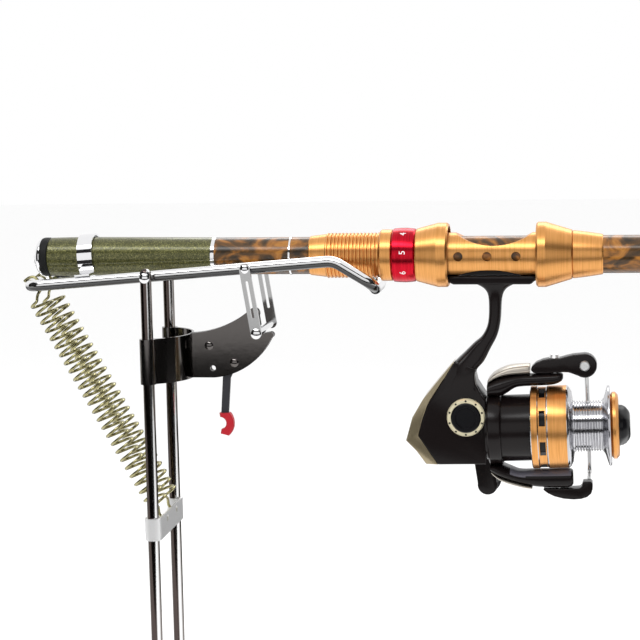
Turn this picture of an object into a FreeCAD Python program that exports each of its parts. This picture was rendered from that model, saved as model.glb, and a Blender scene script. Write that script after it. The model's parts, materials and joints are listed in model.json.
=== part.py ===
"""A spinning rod and reel on a spring-loaded rod holder.

Units are millimetres.  X runs along the rod towards its tip, Z is up, and the
side of the reel with the screw cap faces -Y.  The origin is on the ground,
midway between the tips of the holder's two legs.
"""

import FreeCAD, Part
import math
import os

import Sketcher
from FreeCAD import Placement, Rotation, Vector

doc = FreeCAD.newDocument("SpinningRodOnHolder")
sheet = doc.addObject("Spreadsheet::Sheet", "Sizes")
nodes = []


# ---------------------------------------------------------------- sizes ----

class Size:
    """A number from the sheet, with the expression that gives it."""

    def __init__(self, value, text):
        self.value = value
        self.text = text

    def _join(self, other, sign, result):
        text = other.text if isinstance(other, Size) else repr(float(other))
        return Size(result, f"({self.text} {sign} {text})")

    def __add__(self, other):
        return self._join(other, "+", self.value + number(other))

    def __sub__(self, other):
        return self._join(other, "-", self.value - number(other))

    def __mul__(self, other):
        return self._join(other, "*", self.value * number(other))

    def __truediv__(self, other):
        return self._join(other, "/", self.value / number(other))

    def __neg__(self):
        return Size(-self.value, f"(0 - {self.text})")

    def __radd__(self, other):
        return Size(float(other), repr(float(other))) + self

    def __rsub__(self, other):
        return Size(float(other), repr(float(other))) - self

    __rmul__ = __mul__


def number(size):
    return size.value if isinstance(size, Size) else float(size)


class Group:
    """One part's sizes, as attributes."""


def cells(prefix, **named):
    """Put a part's sizes into the sheet and hand them back by name."""
    group = Group()
    for name, value in named.items():
        cells.row += 1
        alias = f"{prefix}_{name}"
        sheet.set(f"A{cells.row}", alias)
        sheet.set(f"B{cells.row}", str(value))
        sheet.setAlias(f"B{cells.row}", alias)
        setattr(group, name, Size(float(value), f"Sizes.{alias}"))
    doc.recompute([sheet])
    return group


cells.row = 0


def put(item, prop, size):
    """Set a property, bound to the sheet where the size comes from it."""
    if isinstance(size, Size):
        item.setExpression(prop, size.text)
    elif prop.isalpha():
        setattr(item, prop, size)


def place(item, at=(0, 0, 0), turn=None):
    """Place a part; turn is a Rotation."""
    base = Vector(*[number(c) for c in at])
    item.Placement = Placement(base, turn or Rotation())
    for axis, size in zip("xyz", at):
        put(item, f"Placement.Base.{axis}", size)
    return item


# -------------------------------------------------------------- sketches ---

class Via:
    """The middle point of an arc between two corners of a loop."""

    def __init__(self, x, y):
        self.point = (x, y)


class Ring:
    """A circle in a sketch."""

    def __init__(self, x, y, radius):
        self.point = (x, y)
        self.radius = radius


def flat(point):
    return Vector(number(point[0]), number(point[1]), 0)


def pin_point(sketch, edge, end, point):
    """Fix a sketch point's distances from the sketch's origin."""
    for kind, size in zip(("DistanceX", "DistanceY"), point):
        index = sketch.addConstraint(
            Sketcher.Constraint(kind, -1, 1, edge, end, number(size)))
        put(sketch, f"Constraints[{index}]", size)


def edges_of(loop):
    """Split a loop into (start, middle or None, end) pieces."""
    pieces = []
    index = 0
    while index < len(loop):
        start = loop[index]
        index += 1
        middle = None
        if index < len(loop) and isinstance(loop[index], Via):
            middle = loop[index].point
            index += 1
        pieces.append((start, middle, loop[index % len(loop)]))
    return pieces


def draw_ring(sketch, ring):
    circle = Part.Circle(flat(ring.point), Vector(0, 0, 1), number(ring.radius))
    edge = sketch.addGeometry(circle, False)
    pin_point(sketch, edge, 3, ring.point)
    index = sketch.addConstraint(
        Sketcher.Constraint("Radius", edge, number(ring.radius)))
    put(sketch, f"Constraints[{index}]", ring.radius)


def fix_bulge(sketch, edge, start, end):
    """Fix how far an arc bulges, by the coordinate that its centre can slide along."""
    chord = flat(end) - flat(start)
    centre = sketch.Geometry[edge].Center
    kind, value = ("DistanceX", centre.x) if abs(chord.y) > abs(chord.x) else (
        "DistanceY", centre.y)
    sketch.addConstraint(Sketcher.Constraint(kind, -1, 1, edge, 3, value))


def draw_loop(sketch, loop):
    ends = []
    arcs = []
    for start, middle, end in edges_of(loop):
        if middle is None:
            edge = sketch.addGeometry(Part.LineSegment(flat(start), flat(end)), False)
            first, last = 1, 2
        else:
            left_turn = (flat(middle) - flat(start)).cross(flat(end) - flat(middle)).z > 0
            first, last = (1, 2) if left_turn else (2, 1)
            tail, head = (start, end) if left_turn else (end, start)
            arc = Part.Arc(flat(tail), flat(middle), flat(head))
            edge = sketch.addGeometry(arc, False)
            arcs.append((edge, start, end))
        pin_point(sketch, edge, first, start)
        ends.append((edge, first, last))
    for (edge, _, last), (following, first, _) in zip(ends, ends[1:] + ends[:1]):
        sketch.addConstraint(Sketcher.Constraint("Coincident", edge, last, following, first))
    for edge, start, end in arcs:
        fix_bulge(sketch, edge, start, end)


def draw(body, plane, shapes, offset=0):
    """Sketch loops and rings on one of the body's own origin planes."""
    sketch = body.newObject("Sketcher::SketchObject", f"{body.Name}_sketch")
    origin_plane = [f for f in body.Origin.OriginFeatures if f.Role == f"{plane}_Plane"][0]
    sketch.AttachmentSupport = [(origin_plane, "")]
    sketch.MapMode = "FlatFace"
    if isinstance(offset, Size) or offset:
        lift = -offset if plane == "XZ" else offset
        sketch.AttachmentOffset = Placement(Vector(0, 0, number(lift)), Rotation())
        put(sketch, "AttachmentOffset.Base.z", lift)
    for shape in shapes:
        if isinstance(shape, Ring):
            draw_ring(sketch, shape)
        else:
            draw_loop(sketch, shape)
    return sketch


# -------------------------------------------------------------- features ---

def new_body(label):
    body = doc.addObject("PartDesign::Body", label)
    body.Label = label
    return body


def keep(item, label=None):
    """List an object as one of the parts that are written out."""
    if label:
        item.Label = label
    nodes.append(item)
    return item


def pad(body, plane, shapes, thickness, offset=0, both_ways=True):
    """Extrude a sketch, about its plane unless both_ways is off."""
    feature = body.newObject("PartDesign::Pad", f"{body.Name}_pad")
    feature.Profile = draw(body, plane, shapes, offset)
    put(feature, "Length", thickness)
    feature.SideType = "Symmetric" if both_ways else "One side"
    doc.recompute()
    return feature


def pocket(body, plane, shapes, depth=None, offset=0, reverse=False):
    """Cut a sketch right through, or to a depth from its plane."""
    feature = body.newObject("PartDesign::Pocket", f"{body.Name}_pocket")
    feature.Profile = draw(body, plane, shapes, offset)
    if depth is None:
        feature.Type = "ThroughAll"
        feature.SideType = "Symmetric"
    else:
        put(feature, "Length", depth)
        feature.Reversed = reverse
    before = body.Shape.Volume
    doc.recompute()
    if body.Shape.Volume > before - 1e-3:
        raise RuntimeError(f"{feature.Name} cuts nothing")
    return feature


def spin(body, profile):
    """Revolve a profile of (along, radius) points about the body's X axis."""
    feature = body.newObject("PartDesign::Revolution", f"{body.Name}_spin")
    sketch = draw(body, "XY", [profile])
    feature.Profile = sketch
    feature.ReferenceAxis = (sketch, ["H_Axis"])
    feature.Angle = 360
    doc.recompute()
    return feature


def spin_cut(body, profile):
    """Cut a revolved profile away from the body."""
    feature = body.newObject("PartDesign::Groove", f"{body.Name}_groove")
    sketch = draw(body, "XY", [profile])
    feature.Profile = sketch
    feature.ReferenceAxis = (sketch, ["H_Axis"])
    feature.Angle = 360
    before = body.Shape.Volume
    doc.recompute()
    if body.Shape.Volume > before - 1e-3:
        raise RuntimeError(f"{feature.Name} cuts nothing")
    return feature


def round_edges(body, radius, wanted):
    """Fillet the body's edges that the wanted test picks."""
    tip = body.Tip
    names = [f"Edge{i + 1}" for i, edge in enumerate(tip.Shape.Edges) if wanted(edge)]
    feature = body.newObject("PartDesign::Fillet", f"{body.Name}_fillet")
    feature.Base = (tip, names)
    put(feature, "Radius", radius)
    doc.recompute()
    return feature


def repeat_along(body, feature, step, count):
    """Repeat a feature along the body's X axis."""
    pattern = body.newObject("PartDesign::LinearPattern", f"{body.Name}_row")
    pattern.Originals = [feature]
    x_axis = [f for f in body.Origin.OriginFeatures if f.Role == "X_Axis"][0]
    pattern.Direction = (x_axis, [""])
    put(pattern, "Length", step * (count - 1))
    pattern.Occurrences = count
    body.Tip = pattern
    doc.recompute()
    return pattern


def repeat_round(body, feature, count):
    """Repeat a feature round the body's X axis."""
    pattern = body.newObject("PartDesign::PolarPattern", f"{body.Name}_circle")
    pattern.Originals = [feature]
    x_axis = [f for f in body.Origin.OriginFeatures if f.Role == "X_Axis"][0]
    pattern.Axis = (x_axis, [""])
    pattern.Angle = 360
    pattern.Occurrences = count
    body.Tip = pattern
    doc.recompute()
    return pattern


def turned(label, profile, at=(0, 0, 0), turn=None):
    """A lathe-turned piece about its own X axis."""
    body = new_body(label)
    spin(body, profile)
    return keep(place(body, at, turn))


def plate(label, shapes, thickness, at=(0, 0, 0), turn=None, plane="XZ"):
    """A flat piece cut to an outline, its thickness about its plane."""
    body = new_body(label)
    pad(body, plane, shapes, thickness)
    return keep(place(body, at, turn))


def shaped(label, shape, at=(0, 0, 0), turn=None):
    """A piece whose form Part's own functions give."""
    feature = doc.addObject("Part::Feature", label)
    feature.Shape = shape
    return keep(place(feature, at, turn), label)


def rod_solid(start, end, radius):
    """A plain round bar between two points."""
    along = end - start
    return Part.makeCylinder(radius, along.Length, start, along)


def rounded_path(points, radii):
    """A wire of straight runs joined by tangent arcs at the inner points."""
    edges = []
    here = points[0]
    for before, corner, after, radius in zip(points, points[1:], points[2:], radii):
        back = (before - corner).normalize()
        ahead = (after - corner).normalize()
        half = back.getAngle(ahead) / 2
        reach = radius / math.tan(half)
        middle = corner + (back + ahead).normalize() * (radius / math.sin(half) - radius)
        start = corner + back * reach
        end = corner + ahead * reach
        edges.append(Part.LineSegment(here, start).toShape())
        edges.append(Part.Arc(start, middle, end).toShape())
        here = end
    edges.append(Part.LineSegment(here, points[-1]).toShape())
    return Part.Wire(edges)


def swept(path, radius):
    """A round wire of the given radius along a path."""
    first = path.Edges[0]
    start = first.valueAt(first.FirstParameter)
    ring = Part.Wire(Part.makeCircle(radius, start, first.tangentAt(first.FirstParameter)))
    return path.makePipeShell([ring], True, False)


NOSE = 0.1  # the flat at the top of a dome, which keeps its arc off the axis


def dome_middle(head, rise):
    """How far out and up the middle of a domed head's outline lies."""
    wide, high = number(head), number(rise)
    ball = (wide ** 2 + high ** 2) / (2 * high)
    half = math.asin(wide / ball) / 2
    return rise * (1 - ball * (1 - math.cos(half)) / high), head * (ball * math.sin(half) / wide)


def rivet(label, grip, shank, head, rise, at, turn):
    """A round-headed rivet along its own X axis, its grip starting at x = 0."""
    out, up = dome_middle(head, rise)
    body = new_body(label)
    spin(body, [
        (-rise, 0), (-rise, NOSE), Via(-out, up), (0, head), (0, shank),
        (grip, shank), (grip, head), Via(grip + out, up), (grip + rise, NOSE),
        (grip + rise, 0)])
    return place(body, at, turn)


def group(label, items):
    """Several separate solids that make one part of the list."""
    compound = doc.addObject("Part::Compound", label)
    compound.Links = items
    return keep(compound, label)


X_TO_Z = Rotation(Vector(0, 1, 0), -90)
X_TO_Y = Rotation(Vector(0, 0, 1), 90)
X_TO_MINUS_Y = Rotation(Vector(0, 0, 1), -90)
SIDES = (("near", -1, X_TO_Y), ("far", 1, X_TO_MINUS_Y))

rig = cells(
    "rig", pivot_height=350, rod_rise=8.8, bar_radius=3, bar_out=18, leg_out=24.4,
    running_gap=0.08)
rod_axis = rig.pivot_height + rig.rod_rise
pivot = (0, 0, rig.pivot_height)


# ---------------------------------------------------------------- stand ----

def make_legs():
    """Two pointed stainless bars with domed, cross-drilled tops."""
    leg = cells("leg", point=26, tip_radius=0.6, hole_radius=1.58)
    dome_start = rig.pivot_height + rig.bar_radius * 0.6
    dome_reach = rig.bar_radius * math.sqrt(0.5)
    for name, side, _ in SIDES:
        body = new_body(f"leg_{name}")
        spin(body, [
            (0, 0), (0, leg.tip_radius), (leg.point, rig.bar_radius),
            (dome_start, rig.bar_radius), Via(dome_start + dome_reach, dome_reach),
            (dome_start + rig.bar_radius, 0)])
        pocket(body, "XZ", [Ring(rig.pivot_height, 0, leg.hole_radius)])
        keep(place(body, (0, rig.leg_out * side, 0), X_TO_Z))


def make_pivot_rivets():
    """Rivets through the leg tops that the arm turns on."""
    size = cells("pivot_rivet", shank=1.5, head=2.7, rise=1.1)
    outside = rig.leg_out + rig.bar_radius
    grip = outside - rig.bar_out + rig.bar_radius + rig.running_gap
    group("pivot_rivets", [
        rivet(f"pivot_rivet_{name}", grip, size.shank, size.head, size.rise,
              (0, outside * side, rig.pivot_height), turn)
        for name, side, turn in SIDES])


def collar_rings(leg_y, size):
    """The two circles of a sleeve that is rolled round a leg."""
    inner = rig.bar_radius + 0.05
    return [Ring(0, leg_y, inner + size.sheet), Ring(0, leg_y, inner)]


catch = cells(
    "catch", sheet=1.3, strap_sheet=1.2, gap=0.95, back=17.2, top=-31.9, bottom=-55.6,
    strap_height=23.6, strap_middle=-43.8, pin_x=57, pin_z=-29.5, notch=2.4,
    rivet_x=27.5, rivet_z=-38.5, rivet_radius=1.2, hole_x=29.4, hole_z=-50.6,
    hole_radius=1.5, lever_x=40.9, lever_z=-47.7, lever_rivet=1.45)


def catch_outline():
    """The blade: curved top and bottom, and a notch that holds the pin."""
    lip = math.radians(135)
    wall = math.radians(200)
    px, pz = catch.pin_x, catch.pin_z
    return [
        (catch.back, catch.top), Via(36, -27.9), (51, -18.6), Via(54, -19.4), (54.6, -22.6),
        (px + catch.notch * math.cos(lip), pz + catch.notch * math.sin(lip)),
        Via(px + catch.notch * math.cos(wall), pz + catch.notch * math.sin(wall)),
        (px, pz - catch.notch),
        (px + 3.2, pz - 1.9), Via(px + 5.3, pz - 2.9), (px + 4.3, pz - 5),
        Via(50, -48.1), (30, catch.bottom), (catch.back, catch.bottom)]


def make_catch_plates():
    """Two mirrored stampings: a sleeve on each leg, half of a bowed strap, a blade."""
    for name, side, _ in SIDES:
        body = new_body(f"catch_plate_{name}")
        leg_y = rig.leg_out * side
        strap = Group()
        strap.sheet = catch.strap_sheet
        pad(body, "XY", collar_rings(leg_y, strap), catch.strap_height,
            catch.strap_middle)
        inner_y = catch.gap * side
        outer_y = (catch.gap + catch.sheet) * side
        pad(body, "XY", [[
            (4, -24.2 * -side), Via(14, -15.2 * -side), (catch.back + 1.2, outer_y),
            (catch.back + 1.2, inner_y), (catch.back, inner_y),
            Via(12.9, -14.4 * -side), (3.1, -22 * -side)]],
            catch.strap_height, catch.strap_middle)
        holes = [
            Ring(catch.rivet_x, catch.rivet_z, catch.rivet_radius + 0.05),
            Ring(catch.hole_x, catch.hole_z, catch.hole_radius),
            Ring(catch.lever_x, catch.lever_z, catch.lever_rivet + 0.05)]
        pad(body, "XZ", [catch_outline()] + holes, catch.sheet,
            (catch.gap + catch.sheet / 2) * side)
        keep(place(body, pivot))


def make_catch_rivets():
    """The rivet that closes the two blades and the one that the trigger turns on."""
    size = cells("catch_rivet", head=2.3, rise=0.9)
    outside = catch.gap + catch.sheet
    places = (
        ("plain", catch.rivet_x, catch.rivet_z, catch.rivet_radius),
        ("lever", catch.lever_x, catch.lever_z, catch.lever_rivet))
    group("catch_rivets", [
        rivet(f"catch_rivet_{name}", outside * 2, shank, size.head, size.rise,
              (x, -outside, rig.pivot_height + z), X_TO_Y)
        for name, x, z, shank in places])


bracket = cells(
    "bracket", sheet=1.2, height=11.8, middle=-132.6, hook_out=10.3, hook_z=-129.9,
    hook_radius=1.8)
bracket_front = rig.bar_radius + 0.1 + bracket.sheet


def make_spring_bracket():
    """A strip across the legs, sleeved on both, with a hole for each spring hook."""
    body = new_body("spring_bracket")
    for _, side, _ in SIDES:
        pad(body, "XY", collar_rings(rig.leg_out * side, bracket), bracket.height,
            bracket.middle)
    back = rig.bar_radius + 0.1
    pad(body, "XY", [[
        (back, -rig.leg_out), (bracket_front, -rig.leg_out),
        (bracket_front, rig.leg_out), (back, rig.leg_out)]],
        bracket.height, bracket.middle)
    for _, side, _ in SIDES:
        pocket(body, "YZ", [Ring(bracket.hook_out * side, bracket.hook_z, bracket.hook_radius)])
    keep(place(body, pivot))


# -------------------------------------------------------------- trigger ----

trigger = cells("trigger", sheet=1.7, end=-76, tang=1.3, sleeve=5)


def make_trigger():
    """The release lever between the blades and the rubber sleeve on its end."""
    waist = trigger.end + trigger.tang
    body = new_body("trigger_lever")
    pad(body, "XZ", [[
        (38.3, -46.4), (46.2, -36.2), Via(48.5, -35.8), (49, -38.1), (43.7, -46.1),
        Via(43.6, -49.4), (41, -50.8), (38.4, -56), (36.9, waist), (36.2, waist),
        (36.2, trigger.end), (33.6, trigger.end), (33.6, waist), (32.9, waist),
        (34.3, -55.2), (37.5, -50)],
        Ring(catch.lever_x, catch.lever_z, catch.lever_rivet + rig.running_gap)],
        trigger.sheet)
    keep(place(body, pivot))
    tip = new_body("trigger_tip")
    pad(tip, "XZ", [[
        (32, waist), (37.8, waist), Via(39.7, -80.7), (36.9, -87), (32.4, -85.9),
        (32.9, -83.4), Via(35.6, -80.2), (32.4, -77)]], trigger.sleeve)
    pocket(tip, "XY", [[
        (33.5, trigger.sheet / 2 + 0.05), (36.3, trigger.sheet / 2 + 0.05),
        (36.3, -trigger.sheet / 2 - 0.05), (33.5, -trigger.sheet / 2 - 0.05)]],
        trigger.tang + 0.05, waist)
    round_edges(tip, 1.2, lambda edge: abs(edge.BoundBox.YLength) < 0.01
                and abs(edge.CenterOfMass.y) > 2 and edge.CenterOfMass.z < -75.2)
    keep(place(tip, pivot))


# ------------------------------------------------------------------ arm ----

arm = cells(
    "arm", rear=-66, rear_drop=5.11, bend_x=97.4, end_x=117.5, end_drop=4.6,
    cradle_drop=7.7, corner=8, knee=12, cradle_corner=6, stirrup_x=51.7,
    stirrup_hole=1.33, pivot_hole=1.58)
arm_slope = arm.rear_drop / -arm.rear
stirrup_z = arm.stirrup_x * arm_slope


def make_arm_frame():
    """One bent bar: a crosspiece behind, two rails and a cradle under the rod."""
    out = rig.bar_out.value
    drop = arm.cradle_drop.value
    rear = arm.rear.value
    rear_z = -arm.rear_drop.value
    end = arm.end_x.value
    knee = Vector(arm.bend_x.value, out, arm.bend_x.value * arm_slope.value)
    path = rounded_path([
        Vector(rear, 0, rear_z), Vector(rear, out, rear_z), knee,
        Vector(end, out, -arm.end_drop.value), Vector(end, out / 2, -drop),
        Vector(end, 0, -drop)],
        [arm.corner.value, arm.knee.value, arm.cradle_corner.value, 8])
    half = swept(path, rig.bar_radius.value)
    frame = half.fuse(half.mirror(Vector(0, 0, 0), Vector(0, 1, 0)))
    across = Vector(0, 60, 0)
    stirrup_at = Vector(arm.stirrup_x.value, -30, stirrup_z.value)
    pivot_at = Vector(0, -30, 0)
    frame = frame.cut(rod_solid(pivot_at, pivot_at + across, arm.pivot_hole.value))
    frame = frame.cut(rod_solid(stirrup_at, stirrup_at + across, arm.stirrup_hole.value))
    shaped("arm_frame", frame.removeSplitter(), pivot)


def make_butt_hoop():
    """A strip bent over the rod, its feet lying on the rails."""
    hoop = cells("hoop", inner=11.1, sheet=1, width=8, x=-36, foot_reach=20, foot_drop=8.52)
    low = math.radians(-38)
    high = math.radians(-34)
    outer = hoop.inner + hoop.sheet
    right = [
        (hoop.inner * math.cos(low), hoop.inner * math.sin(low)), (10.9, -hoop.foot_drop),
        (hoop.foot_reach, -hoop.foot_drop), (hoop.foot_reach, hoop.sheet - hoop.foot_drop),
        (11.4, hoop.sheet - hoop.foot_drop), (outer * math.cos(high), outer * math.sin(high))]
    left = [(-x, z) for x, z in reversed(right)]
    slope = math.degrees(math.atan(arm_slope.value))
    body = new_body("butt_hoop")
    pad(body, "YZ", [right + [Via(0, outer)] + left + [Via(0, hoop.inner)]], hoop.width)
    keep(place(body, (hoop.x, 0, rod_axis), Rotation(Vector(0, 1, 0), -slope)))


stirrup = cells(
    "stirrup", half_width=2.8, sheet=1.5, gap=0.15, slot=0.75, rivet=1.25, pin=1.9,
    head=2.7, rise=0.9)
drop_x = catch.pin_x - arm.stirrup_x
drop_z = stirrup_z - catch.pin_z
stirrup_length = math.hypot(drop_x.value, drop_z.value)
stirrup_lean = math.degrees(math.atan2(drop_z.value, drop_x.value))
stirrup_top = (arm.stirrup_x, 0, rig.pivot_height + stirrup_z)


def make_stirrup():
    """The latch link: two slotted strips, their rivets and the cross pin."""
    reach = stirrup_length
    inside = rig.bar_out + rig.bar_radius + stirrup.gap
    half = stirrup.half_width
    lean = Rotation(Vector(0, 1, 0), stirrup_lean)
    strip = [(0, half), (reach, half), Via(reach + half, 0), (reach, -half), (0, -half),
             Via(-half, 0)]
    slot = [(7, stirrup.slot), (25, stirrup.slot), Via(25 + stirrup.slot, 0),
            (25, -stirrup.slot), (7, -stirrup.slot), Via(7 - stirrup.slot, 0)]
    for name, side, _ in SIDES:
        plate(f"stirrup_{name}",
              [strip, slot, Ring(0, 0, stirrup.rivet + 0.05), Ring(reach, 0, stirrup.pin + 0.05)],
              stirrup.sheet,
              (stirrup_top[0], (inside + stirrup.sheet / 2) * side, stirrup_top[2]), lean)
    outside = inside + stirrup.sheet
    grip = outside - rig.bar_out + rig.bar_radius + rig.running_gap
    group("stirrup_rivets", [
        rivet(f"stirrup_rivet_{name}", grip, stirrup.rivet, 2.3, stirrup.rise,
              (stirrup_top[0], outside * side, stirrup_top[2]), turn)
        for name, side, turn in SIDES])
    pin = rivet("stirrup_pin", outside * 2, stirrup.pin, stirrup.head, stirrup.rise,
                (catch.pin_x, -outside, rig.pivot_height + catch.pin_z), X_TO_Y)
    keep(pin)


# -------------------------------------------------------------- springs ----

spring = cells("spring", wire=0.75, coil=5.7, pitch=4.8, hook=9.5)


def make_springs():
    """Two coil springs from the bracket's holes to the arm's rear crosspiece."""
    wire = spring.wire.value
    coil = spring.coil.value
    hook = spring.hook.value
    foot = Vector(bracket_front.value - bracket.sheet.value / 2, 0, bracket.hook_z.value)
    head = Vector(arm.rear.value, 0, -arm.rear_drop.value)
    along = head - foot
    length = along.Length - 2 * hook
    turns = round(length / spring.pitch.value)
    helix = Part.makeHelix(length / turns, length, coil)
    start = Vector(coil, 0, 0)
    ring = Part.Wire(Part.makeCircle(wire, start, Vector(0, 1, 0)))
    body = Part.Wire(helix.Edges).makePipeShell([ring], True, True)
    body.translate(Vector(0, 0, hook))
    ends = []
    for base, way in ((hook, -1), (hook + length, 1)):
        reach = hook - rig.bar_radius.value - 1.6 if way > 0 else hook - 3
        path = rounded_path([
            Vector(coil, 0, base), Vector(0, 0, base + way * 1.6),
            Vector(0, 0, base + way * reach)], [1.5])
        ends.append(swept(path, wire))
    shape = Part.makeCompound([body] + ends)
    lean = Rotation(Vector(0, 0, 1), along)
    for name, side, _ in SIDES:
        shaped(f"spring_{name}", shape.copy(), (
            bracket_front - bracket.sheet / 2, bracket.hook_out * side,
            rig.pivot_height + bracket.hook_z), lean)


# ------------------------------------------------------------------ rod ----

rod = cells(
    "rod", butt=-64.6, cap=-61.7, shoulder=-57.4, grip_end=31, front=575, core=9, bore=8,
    blank=9.7, blank_front=9.1, grip_butt=10.2, grip_belly=10.5, grip_front=9.85)
rod_at = (0, 0, rod_axis)


def make_butt_end():
    """A chromed screw cap with a small ring in its lug, and a rubber gasket."""
    cap = cells("cap", rim=9.9, spigot=7.95, spigot_end=-50, lug=2.6, lug_half=0.8,
                eye=0.78, ring=2.4, ring_wire=0.45)
    body = new_body("butt_cap")
    spin(body, [
        (rod.butt, 0), (rod.butt, 6), Via(-63.7, 8.8), (rod.cap - 0.4, cap.rim),
        (rod.cap, cap.rim), (rod.cap, cap.spigot), (cap.spigot_end, cap.spigot),
        (cap.spigot_end, cap.spigot - 1.4), (rod.cap + 1.5, cap.spigot - 1.4), (rod.cap + 1.5, 0)])
    eye_x = rod.butt - cap.lug / 2
    pad(body, "XZ", [[
        (rod.butt + 0.2, 1.6), (rod.butt + 0.2, -1.6), (eye_x, -1.35),
        Via(rod.butt - cap.lug, 0), (eye_x, 1.35)]], cap.lug_half * 2)
    pocket(body, "XZ", [Ring(eye_x, 0, cap.eye)])
    keep(place(body, rod_at))
    hoop = doc.addObject("Part::Torus", "lanyard_ring")
    put(hoop, "Radius1", cap.ring)
    put(hoop, "Radius2", cap.ring_wire)
    keep(place(hoop, (eye_x, 0, rod_axis - cap.ring), Rotation(Vector(0, 1, 0), 90)),
         "lanyard_ring")
    turned("butt_gasket", [
        (rod.cap, cap.spigot + 0.05), (rod.cap, 9.9), Via(-60.6, 10.25), (-59.5, 10.3),
        (rod.shoulder - 0.5, 10.3), (rod.shoulder, 9.9), (rod.shoulder, cap.spigot + 0.05)],
        rod_at)


def make_blank():
    """The butt section: a tube, the painted grip sleeve on it and two trim rings."""
    turned("rod_blank", [
        (rod.shoulder, rod.bore), (rod.shoulder, rod.core), (rod.grip_end, rod.core),
        (rod.grip_end, rod.blank), (240, rod.blank), (rod.front, rod.blank_front),
        (rod.front, rod.bore)], rod_at)
    turned("rod_grip", [
        (rod.shoulder, rod.core + 0.02), (rod.shoulder, rod.grip_butt - 0.4),
        (rod.shoulder + 0.5, rod.grip_butt), Via(-47, 10.42), (-36, rod.grip_belly),
        (rod.grip_end, rod.grip_front), (rod.grip_end, rod.core + 0.02)], rod_at)
    bands = []
    for index, (start, width) in enumerate(((31.05, 1.9), (72.2, 0.9))):
        body = new_body(f"trim_ring_{index}")
        spin(body, [
            (start, rod.blank + 0.02), (start, 9.95), (start + width, 9.95),
            (start + width, rod.blank + 0.02)])
        bands.append(place(body, rod_at))
    group("trim_rings", bands)


seat = cells(
    "seat", back=82.7, thread_start=92, thread_end=138.1, pitch=1.9, crest=11.7, neck=11.3,
    nut_bore=11.78, lock_start=119.4, nut_start=126.1, hood_start=138.3, hood_front=155,
    tube=11.5, tube_start=146.2, tube_end=206, fixed_start=199.8, fixed_end=218,
    trim_end=233.5, lock_radius=13.3, nut_radius=14.1, hood_radius=16.6, cavity=14.9,
    hole=2.4)
seat_bore = rod.blank + 0.05


def make_seat_barrel():
    """The turned gold barrel with its thread, shown as round grooves."""
    body = new_body("seat_barrel")
    spin(body, [
        (seat.back, seat_bore), (seat.back, 9.95), (seat.back + 0.5, 10.2),
        (seat.thread_start - 0.5, 11.2), (seat.thread_start, seat.crest),
        (seat.thread_end, seat.crest), (seat.thread_end, seat.neck),
        (seat.tube_start - 0.1, seat.neck), (seat.tube_start - 0.1, seat_bore)])
    groove = spin_cut(body, [
        (seat.thread_start + 0.5, seat.crest + 0.1), (seat.thread_start + 0.9, seat.crest - 0.7),
        (seat.thread_start + 1.3, seat.crest - 0.7), (seat.thread_start + 1.7, seat.crest + 0.1)])
    repeat_along(body, groove, seat.pitch, 24)
    keep(place(body, rod_at))


def make_lock_ring_and_nut():
    """The gold lock ring and the red nut that draw the hood back."""
    body = new_body("lock_ring")
    end = seat.nut_start - 0.1
    spin(body, [
        (seat.lock_start, seat.nut_bore), (seat.lock_start, seat.lock_radius - 1),
        (seat.lock_start + 1, seat.lock_radius), (end - 0.4, seat.lock_radius),
        (end, seat.lock_radius - 0.4), (end, seat.nut_bore)])
    keep(place(body, rod_at))
    nut = new_body("seat_nut")
    end = seat.hood_start - 0.1
    middle = (seat.nut_start + end) / 2
    spin(nut, [
        (seat.nut_start, seat.nut_bore), (seat.nut_start, seat.nut_radius - 0.9),
        (seat.nut_start + 0.7, seat.nut_radius - 0.3), Via(middle.value, 14.1),
        (end - 0.7, seat.nut_radius - 0.4), (end, seat.nut_radius - 1), (end, seat.nut_bore)])
    keep(place(nut, rod_at))


def make_hoods():
    """The sliding hood, the fixed hood and the trim cone in front of it."""
    front = seat.hood_front
    turned("slide_hood", [
        (seat.hood_start, seat.nut_bore), (seat.hood_start, 13.4), (seat.hood_start + 0.4, 13.7),
        (front - 5.6, seat.hood_radius), (front - 0.9, seat.hood_radius),
        (front, seat.hood_radius - 0.8), (front, seat.cavity), (seat.tube_start + 0.4, seat.cavity),
        (seat.tube_start - 1.6, seat.nut_bore)], rod_at)
    turned("fixed_hood", [
        (seat.fixed_start, seat.cavity), (seat.fixed_start, seat.hood_radius - 0.7),
        (seat.fixed_start + 0.9, seat.hood_radius + 0.1),
        (seat.fixed_start + 4.8, seat.hood_radius + 0.1), (seat.fixed_end - 0.4, 12.7),
        (seat.fixed_end, 12.3), (seat.fixed_end, seat_bore), (seat.tube_end + 0.2, seat_bore),
        (seat.tube_end + 0.2, seat.cavity)], rod_at)
    turned("seat_trim", [
        (seat.fixed_end + 0.1, seat_bore), (seat.fixed_end + 0.1, 12), (seat.fixed_end + 0.6, 12.3),
        Via(226, 11.4), (seat.trim_end - 0.4, 10.3), (seat.trim_end, 10), (seat.trim_end, seat_bore)],
        rod_at)


def make_seat_body():
    """The tube between the hoods: saddle windows above and below, side holes."""
    window = cells("window", top_x=178.3, top_z=5.3, top_radius=34.7, low_x=176, low_z=-7.1,
                   low_radius=44.7, flat=-10.4)
    body = new_body("seat_body")
    spin(body, [
        (seat.tube_start, seat_bore), (seat.tube_start, seat.tube), (seat.tube_end, seat.tube),
        (seat.tube_end, seat_bore)])
    pocket(body, "XZ", [Ring(window.top_x, window.top_z + window.top_radius, window.top_radius)])
    pocket(body, "XZ", [Ring(window.low_x, window.low_z - window.low_radius, window.low_radius)])
    pocket(body, "XZ", [[
        (seat.tube_start - 1, window.flat), (seat.tube_end + 1, window.flat),
        (seat.tube_end + 1, -13), (seat.tube_start - 1, -13)]])
    pocket(body, "XZ", [Ring(160.4 + 14.7 * index, 0, seat.hole) for index in range(3)])
    keep(place(body, rod_at))


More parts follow.
